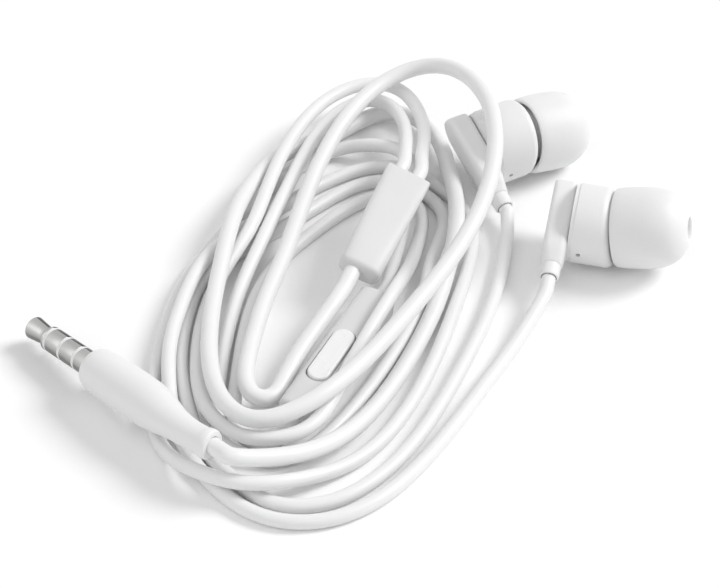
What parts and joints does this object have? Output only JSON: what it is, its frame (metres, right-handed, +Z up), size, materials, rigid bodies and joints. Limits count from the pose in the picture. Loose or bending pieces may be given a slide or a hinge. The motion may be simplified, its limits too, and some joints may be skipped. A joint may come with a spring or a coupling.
{
  "type": "wired earphones",
  "caption": "In-ear earphones on a branching cord with an in-line remote and a straight round plug, gathered in one loose winding.",
  "frame": {"origin": "middle of the footprint of the two earbuds, on the surface that the earphones lie on", "axes": "+Z up from the surface, +X the way the ear tips point, +Y from the right earbud to the left one; the winding lies towards -X and the plug points towards -X and +Y"},
  "size_m": [0.093, 0.0916, 0.0149],
  "materials": {
    "case_plastic": "satin white",
    "gloss_white": "glossy white",
    "soft_plastic": "soft white",
    "silicone": "translucent white silicone",
    "cord_jacket": "smooth white cord jacket",
    "contact": "polished metal contacts",
    "insulator": "white",
    "dark_plastic": "black",
    "steel": "plain",
    "magnet": "nickel plated",
    "copper": "enamelled copper",
    "film": "thin clear film",
    "board": "green circuit board",
    "mesh": "fine steel mesh"
  },
  "bodies": {
    "earphones": {"left_back_bar": "case_plastic", "left_rear_plate": "case_plastic", "left_housing": "case_plastic", "left_nozzle_mesh": "mesh", "left_driver_frame": "dark_plastic", "left_yoke": "steel", "left_magnet": "magnet", "left_top_plate": "steel", "left_voice_coil": "copper", "left_diaphragm": "film", "left_terminal_board": "board", "left_stem_bushing": "soft_plastic", "left_inner_wires": "copper", "right_back_bar": "case_plastic", "right_rear_plate": "case_plastic", "right_housing": "case_plastic", "right_nozzle_mesh": "mesh", "right_driver_frame": "dark_plastic", "right_yoke": "steel", "right_magnet": "magnet", "right_top_plate": "steel", "right_voice_coil": "copper", "right_diaphragm": "film", "right_terminal_board": "board", "right_stem_bushing": "soft_plastic", "right_inner_wires": "copper", "remote_front_shell": "gloss_white", "remote_back_shell": "case_plastic", "remote_circuit_board": "board", "remote_dome_switch": "steel", "remote_microphone": "steel", "remote_cord_collars": "soft_plastic", "splitter_shell": "soft_plastic", "splitter_crimp": "steel", "plug_tip": "contact", "plug_ring_1": "contact", "plug_ring_2": "contact", "plug_sleeve": "contact", "plug_insulators": "insulator", "plug_inner_mould": "insulator", "plug_overmould": "soft_plastic", "main_cord": "cord_jacket", "left_cord": "cord_jacket", "right_cord_upper": "cord_jacket", "right_cord_lower": "cord_jacket"},
    "left_tip": {"left_ear_tip": "silicone"},
    "right_tip": {"right_ear_tip": "silicone"},
    "button": {"remote_button": "gloss_white"}
  },
  "joints": [
    {"name": "left_tip_pull", "type": "slide", "parent": "earphones", "child": "left_tip", "axis": [0.8731, 0.4706, -0.1274], "range_m": [0, 0.009]},
    {"name": "right_tip_pull", "type": "slide", "parent": "earphones", "child": "right_tip", "axis": [0.9521, -0.2447, 0.1836], "range_m": [0, 0.009]},
    {"name": "remote_press", "type": "slide", "parent": "earphones", "child": "button", "axis": [-0.079, 0.0368, -0.9962], "range_m": [0, 0.00025], "stiffness_N_per_m": 250}
  ]
}
